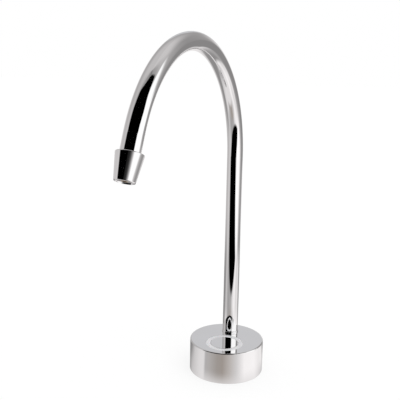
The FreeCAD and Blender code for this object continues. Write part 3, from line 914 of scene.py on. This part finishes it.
# %% Black and white plastic
GRAIN_SIZE = 0.0003
GRAIN_ROUGHNESS = 0.14
FLOW_ROUGHNESS = 0.05


def moulded_plastic(name, colour, cloud_colour, roughness):
    """An opaque moulded plastic with a mould grain and soft flow marks."""
    material, tree, shader, place = new_finish(name)
    clouds = patches(tree, place, size=0.010, detail=3.0)
    two_colours(tree, shader, clouds, colour, cloud_colour)
    skin = speckle(tree, place, size=GRAIN_SIZE)
    rough = between(tree, skin, roughness, roughness + GRAIN_ROUGHNESS)
    rough = calc(tree, "MULTIPLY_ADD", clouds, FLOW_ROUGHNESS, rough)
    fill(tree, shader.inputs["Roughness"], rough)
    relief(tree, shader, skin, depth=0.00002)
    return material


finishes["black_plastic"] = moulded_plastic(
    "black_moulded_plastic", roughness=0.38,
    colour=(0.020, 0.020, 0.022, 1.0), cloud_colour=(0.036, 0.036, 0.038, 1.0),
)
finishes["white_plastic"] = moulded_plastic(
    "white_bearing_plastic", roughness=0.30,
    colour=(0.80, 0.79, 0.76, 1.0), cloud_colour=(0.70, 0.69, 0.65, 1.0),
)
print("Finishes made: black and white plastic")

# %% [markdown]
# ## Milky and clear plastic
# The ring round the push button shows outside. It is milky and polished, and a little light goes a
# short way into it, so its edges look soft. A paler colour alone would look like paint. A trace of
# subsurface scattering does it.
#
# The hose, the magnet switch and one of the eyes are clear. Light passes through them, so their
# recipe has transmission, with a faint smoky tint and tiny flow marks that bend it a little.

# %% Milky and clear plastic
MILKY_PALE = (0.73, 0.725, 0.74, 1.0)
MILKY_GREY = (0.68, 0.675, 0.69, 1.0)
SCUFF_ROUGHNESS = (0.16, 0.34)
CLEAR_PALE = (0.90, 0.92, 0.94, 1.0)
CLEAR_SMOKY = (0.80, 0.83, 0.88, 1.0)
CLEAR_ROUGHNESS = (0.04, 0.12)


def milky_plastic():
    """The polished, milky plastic of the ring round the button."""
    material, tree, shader, place = new_finish(
        "milky_ring_plastic", {"Subsurface Weight": 0.02, "Subsurface Scale": 0.0005}
    )
    two_colours(tree, shader, patches(tree, place, size=0.006, detail=3.0), MILKY_PALE, MILKY_GREY)
    scuffs = speckle(tree, place, size=0.0010, detail=4.0)
    fill(tree, shader.inputs["Roughness"], between(tree, scuffs, *SCUFF_ROUGHNESS))
    relief(tree, shader, scuffs, depth=0.000006)
    return material


def clear_plastic():
    """Clear plastic with a faint smoky tint and tiny flow marks."""
    material, tree, shader, place = new_finish(
        "clear_lens_plastic", {"Transmission Weight": 0.85, "IOR": 1.5}
    )
    clouds = patches(tree, place, size=0.002)
    two_colours(tree, shader, clouds, CLEAR_PALE, CLEAR_SMOKY)
    two_roughnesses(tree, shader, clouds, *CLEAR_ROUGHNESS)
    relief(tree, shader, speckle(tree, place, size=0.0008), depth=0.00001)
    return material


finishes["pale_plastic"] = milky_plastic()
finishes["clear_plastic"] = clear_plastic()
print("Finishes made: milky and clear plastic")

# %% [markdown]
# ## The circuit boards
# A circuit board is glass fibre under green lacquer. The fibre's weave shows through as a fine
# checker, and copper tracks lift the lacquer a little and make it paler. Real tracks would have to
# be drawn one by one for boards that nobody sees, so the joints of a brick pattern stand for them.

# %% Lacquered board
LACQUER_DARK = (0.012, 0.110, 0.045, 1.0)
LACQUER_GREEN = (0.018, 0.150, 0.060, 1.0)
LACQUER_ON_COPPER = (0.060, 0.280, 0.110, 1.0)
LACQUER_ROUGHNESS = (0.30, 0.18)
TRACK_SCALE = 420.0
WEAVE_SCALE = 2500.0
WEAVE_SHARE = 0.35


def copper_tracks(tree, place):
    """1 on the tracks, 0 between them."""
    return add(tree, "TexBrick", {
        "Vector": place, "Scale": TRACK_SCALE, "Mortar Size": 0.035, "Mortar Smooth": 0.2,
        "Color1": BLACK, "Color2": BLACK, "Mortar": WHITE,
    }).outputs[0]


def lacquered_board():
    """Green lacquer over a fine weave, raised and paler on the tracks."""
    material, tree, shader, place = new_finish("lacquered_board")
    weave = add(tree, "TexChecker", {"Vector": place, "Scale": WEAVE_SCALE}).outputs["Fac"]
    weave = calc(tree, "MULTIPLY", weave, WEAVE_SHARE)
    lacquer = blend_colours(tree, weave, LACQUER_DARK, LACQUER_GREEN)
    tracks = copper_tracks(tree, place)
    two_colours(tree, shader, tracks, lacquer, LACQUER_ON_COPPER)
    two_roughnesses(tree, shader, tracks, *LACQUER_ROUGHNESS)
    relief(tree, shader, tracks, depth=0.00004)
    return material


finishes["circuit_board"] = lacquered_board()
print("Finish made: lacquered board")

# %% [markdown]
# ## The cable's jacket and the eyes' windows
# The cable's jacket is soft dark grey plastic. It is pressed out of a ring-shaped die, which leaves
# marks along it, and it picks up grime. Both are noises again, one of them stretched.
# The eyes' windows are a dark plastic that only infrared light passes. To us it is almost black,
# very smooth, with a deep red in it. Glass could be used for it, but what is behind it never shows,
# so a dark colour under a clear coat is enough.

# %% Cable jacket and infrared window
JACKET_GREY = (0.075, 0.077, 0.080, 1.0)
JACKET_GRIMY = (0.045, 0.046, 0.047, 1.0)
JACKET_ROUGHNESS = (0.42, 0.58)
WINDOW_DARK = (0.016, 0.004, 0.005, 1.0)
WINDOW_RED = (0.030, 0.006, 0.008, 1.0)
WINDOW_ROUGHNESS = (0.06, 0.14)


def cable_jacket():
    """Soft plastic with marks along it and grime in patches."""
    material, tree, shader, place = new_finish("cable_jacket")
    grime = patches(tree, place, size=0.010, detail=4.0, start=0.45, end=0.7)
    two_colours(tree, shader, grime, JACKET_GREY, JACKET_GRIMY)
    marks = speckle(tree, place, size=0.0003, stretch=(1.0, 1.0, 14.0))
    fill(tree, shader.inputs["Roughness"], between(tree, marks, *JACKET_ROUGHNESS))
    relief(tree, shader, marks, depth=0.00002)
    return material


def infrared_window():
    """Very smooth, dark red plastic under a clear coat."""
    material, tree, shader, place = new_finish(
        "infrared_window", {"Coat Weight": 1.0, "Coat Roughness": 0.03}
    )
    clouds = patches(tree, place, size=0.003)
    two_colours(tree, shader, clouds, WINDOW_DARK, WINDOW_RED)
    two_roughnesses(tree, shader, clouds, *WINDOW_ROUGHNESS)
    relief(tree, shader, speckle(tree, place, size=0.0006), depth=0.000005)
    return material


finishes["lead_jacket"] = cable_jacket()
finishes["sensor_window"] = infrared_window()
print("Finishes made:", len(finishes))

# %% [markdown]
# ## Dressing the parts
# Every part already carries the name of its finish, because the solids were sorted that way. So one
# loop can dress them all: it looks up the name in each part's material slot and puts the finish made
# above in its place.

# %% Dress every part
def dress(node_name):
    """Swaps a part's plain material for the finish of that name, and returns the name."""
    part = frame["nodes"][node_name]
    for slot in part.material_slots:
        name = slot.material.name.split(".")[0]
        slot.material = finishes[name]
    return name


dressed = {}
for node_name in frame["nodes"]:
    dressed.setdefault(dress(node_name), []).append(node_name)
for name, parts in dressed.items():
    print(f"{name}: {len(parts)} parts")

# %% [markdown]
# ## A copy of the coil
# The solids are rigid, but the coil under the button isn't. With the button down, a rigid coil would
# stick through the cap. A new coil could be bent for every position of the button. Here a copy of its
# mesh, hung on the base, takes its place at the height of the coil at rest, and the cell works out
# how much of that height the button's travel would leave.

# %% Copy the coil
def button_travel():
    """How far the button goes down, in metres."""
    for joint in frame["joints"]:
        if joint["name"] == "button_press":
            return joint["range_m"][1]


def pressed_coil():
    """A copy of the coil in its place; returns the share of its height that the button's travel would
    leave.
    """
    coil = bpy.data.objects.new("pressed_coil", frame["nodes"]["return_spring"].data.copy())
    bpy.context.collection.objects.link(coil)
    foot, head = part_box("return_spring")
    height_left = 1 - button_travel() / (head.z - foot.z)
    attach(coil, "base")
    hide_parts("return_spring")
    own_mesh(coil)
    return height_left


print(f"Share of the coil's height that is left with the button down: {pressed_coil():.0%}")

# %% [markdown]
# ## Last measurements
# The last cell measures the box round the dressed tap, without the studio's sheets, and its size in
# millimetres.

# %% Measure the dressed tap
dressed_low, dressed_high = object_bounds()
dressed_size = [round(MM_PER_METRE * side) for side in dressed_high - dressed_low]
print("Size of the dressed tap in mm:", dressed_size)
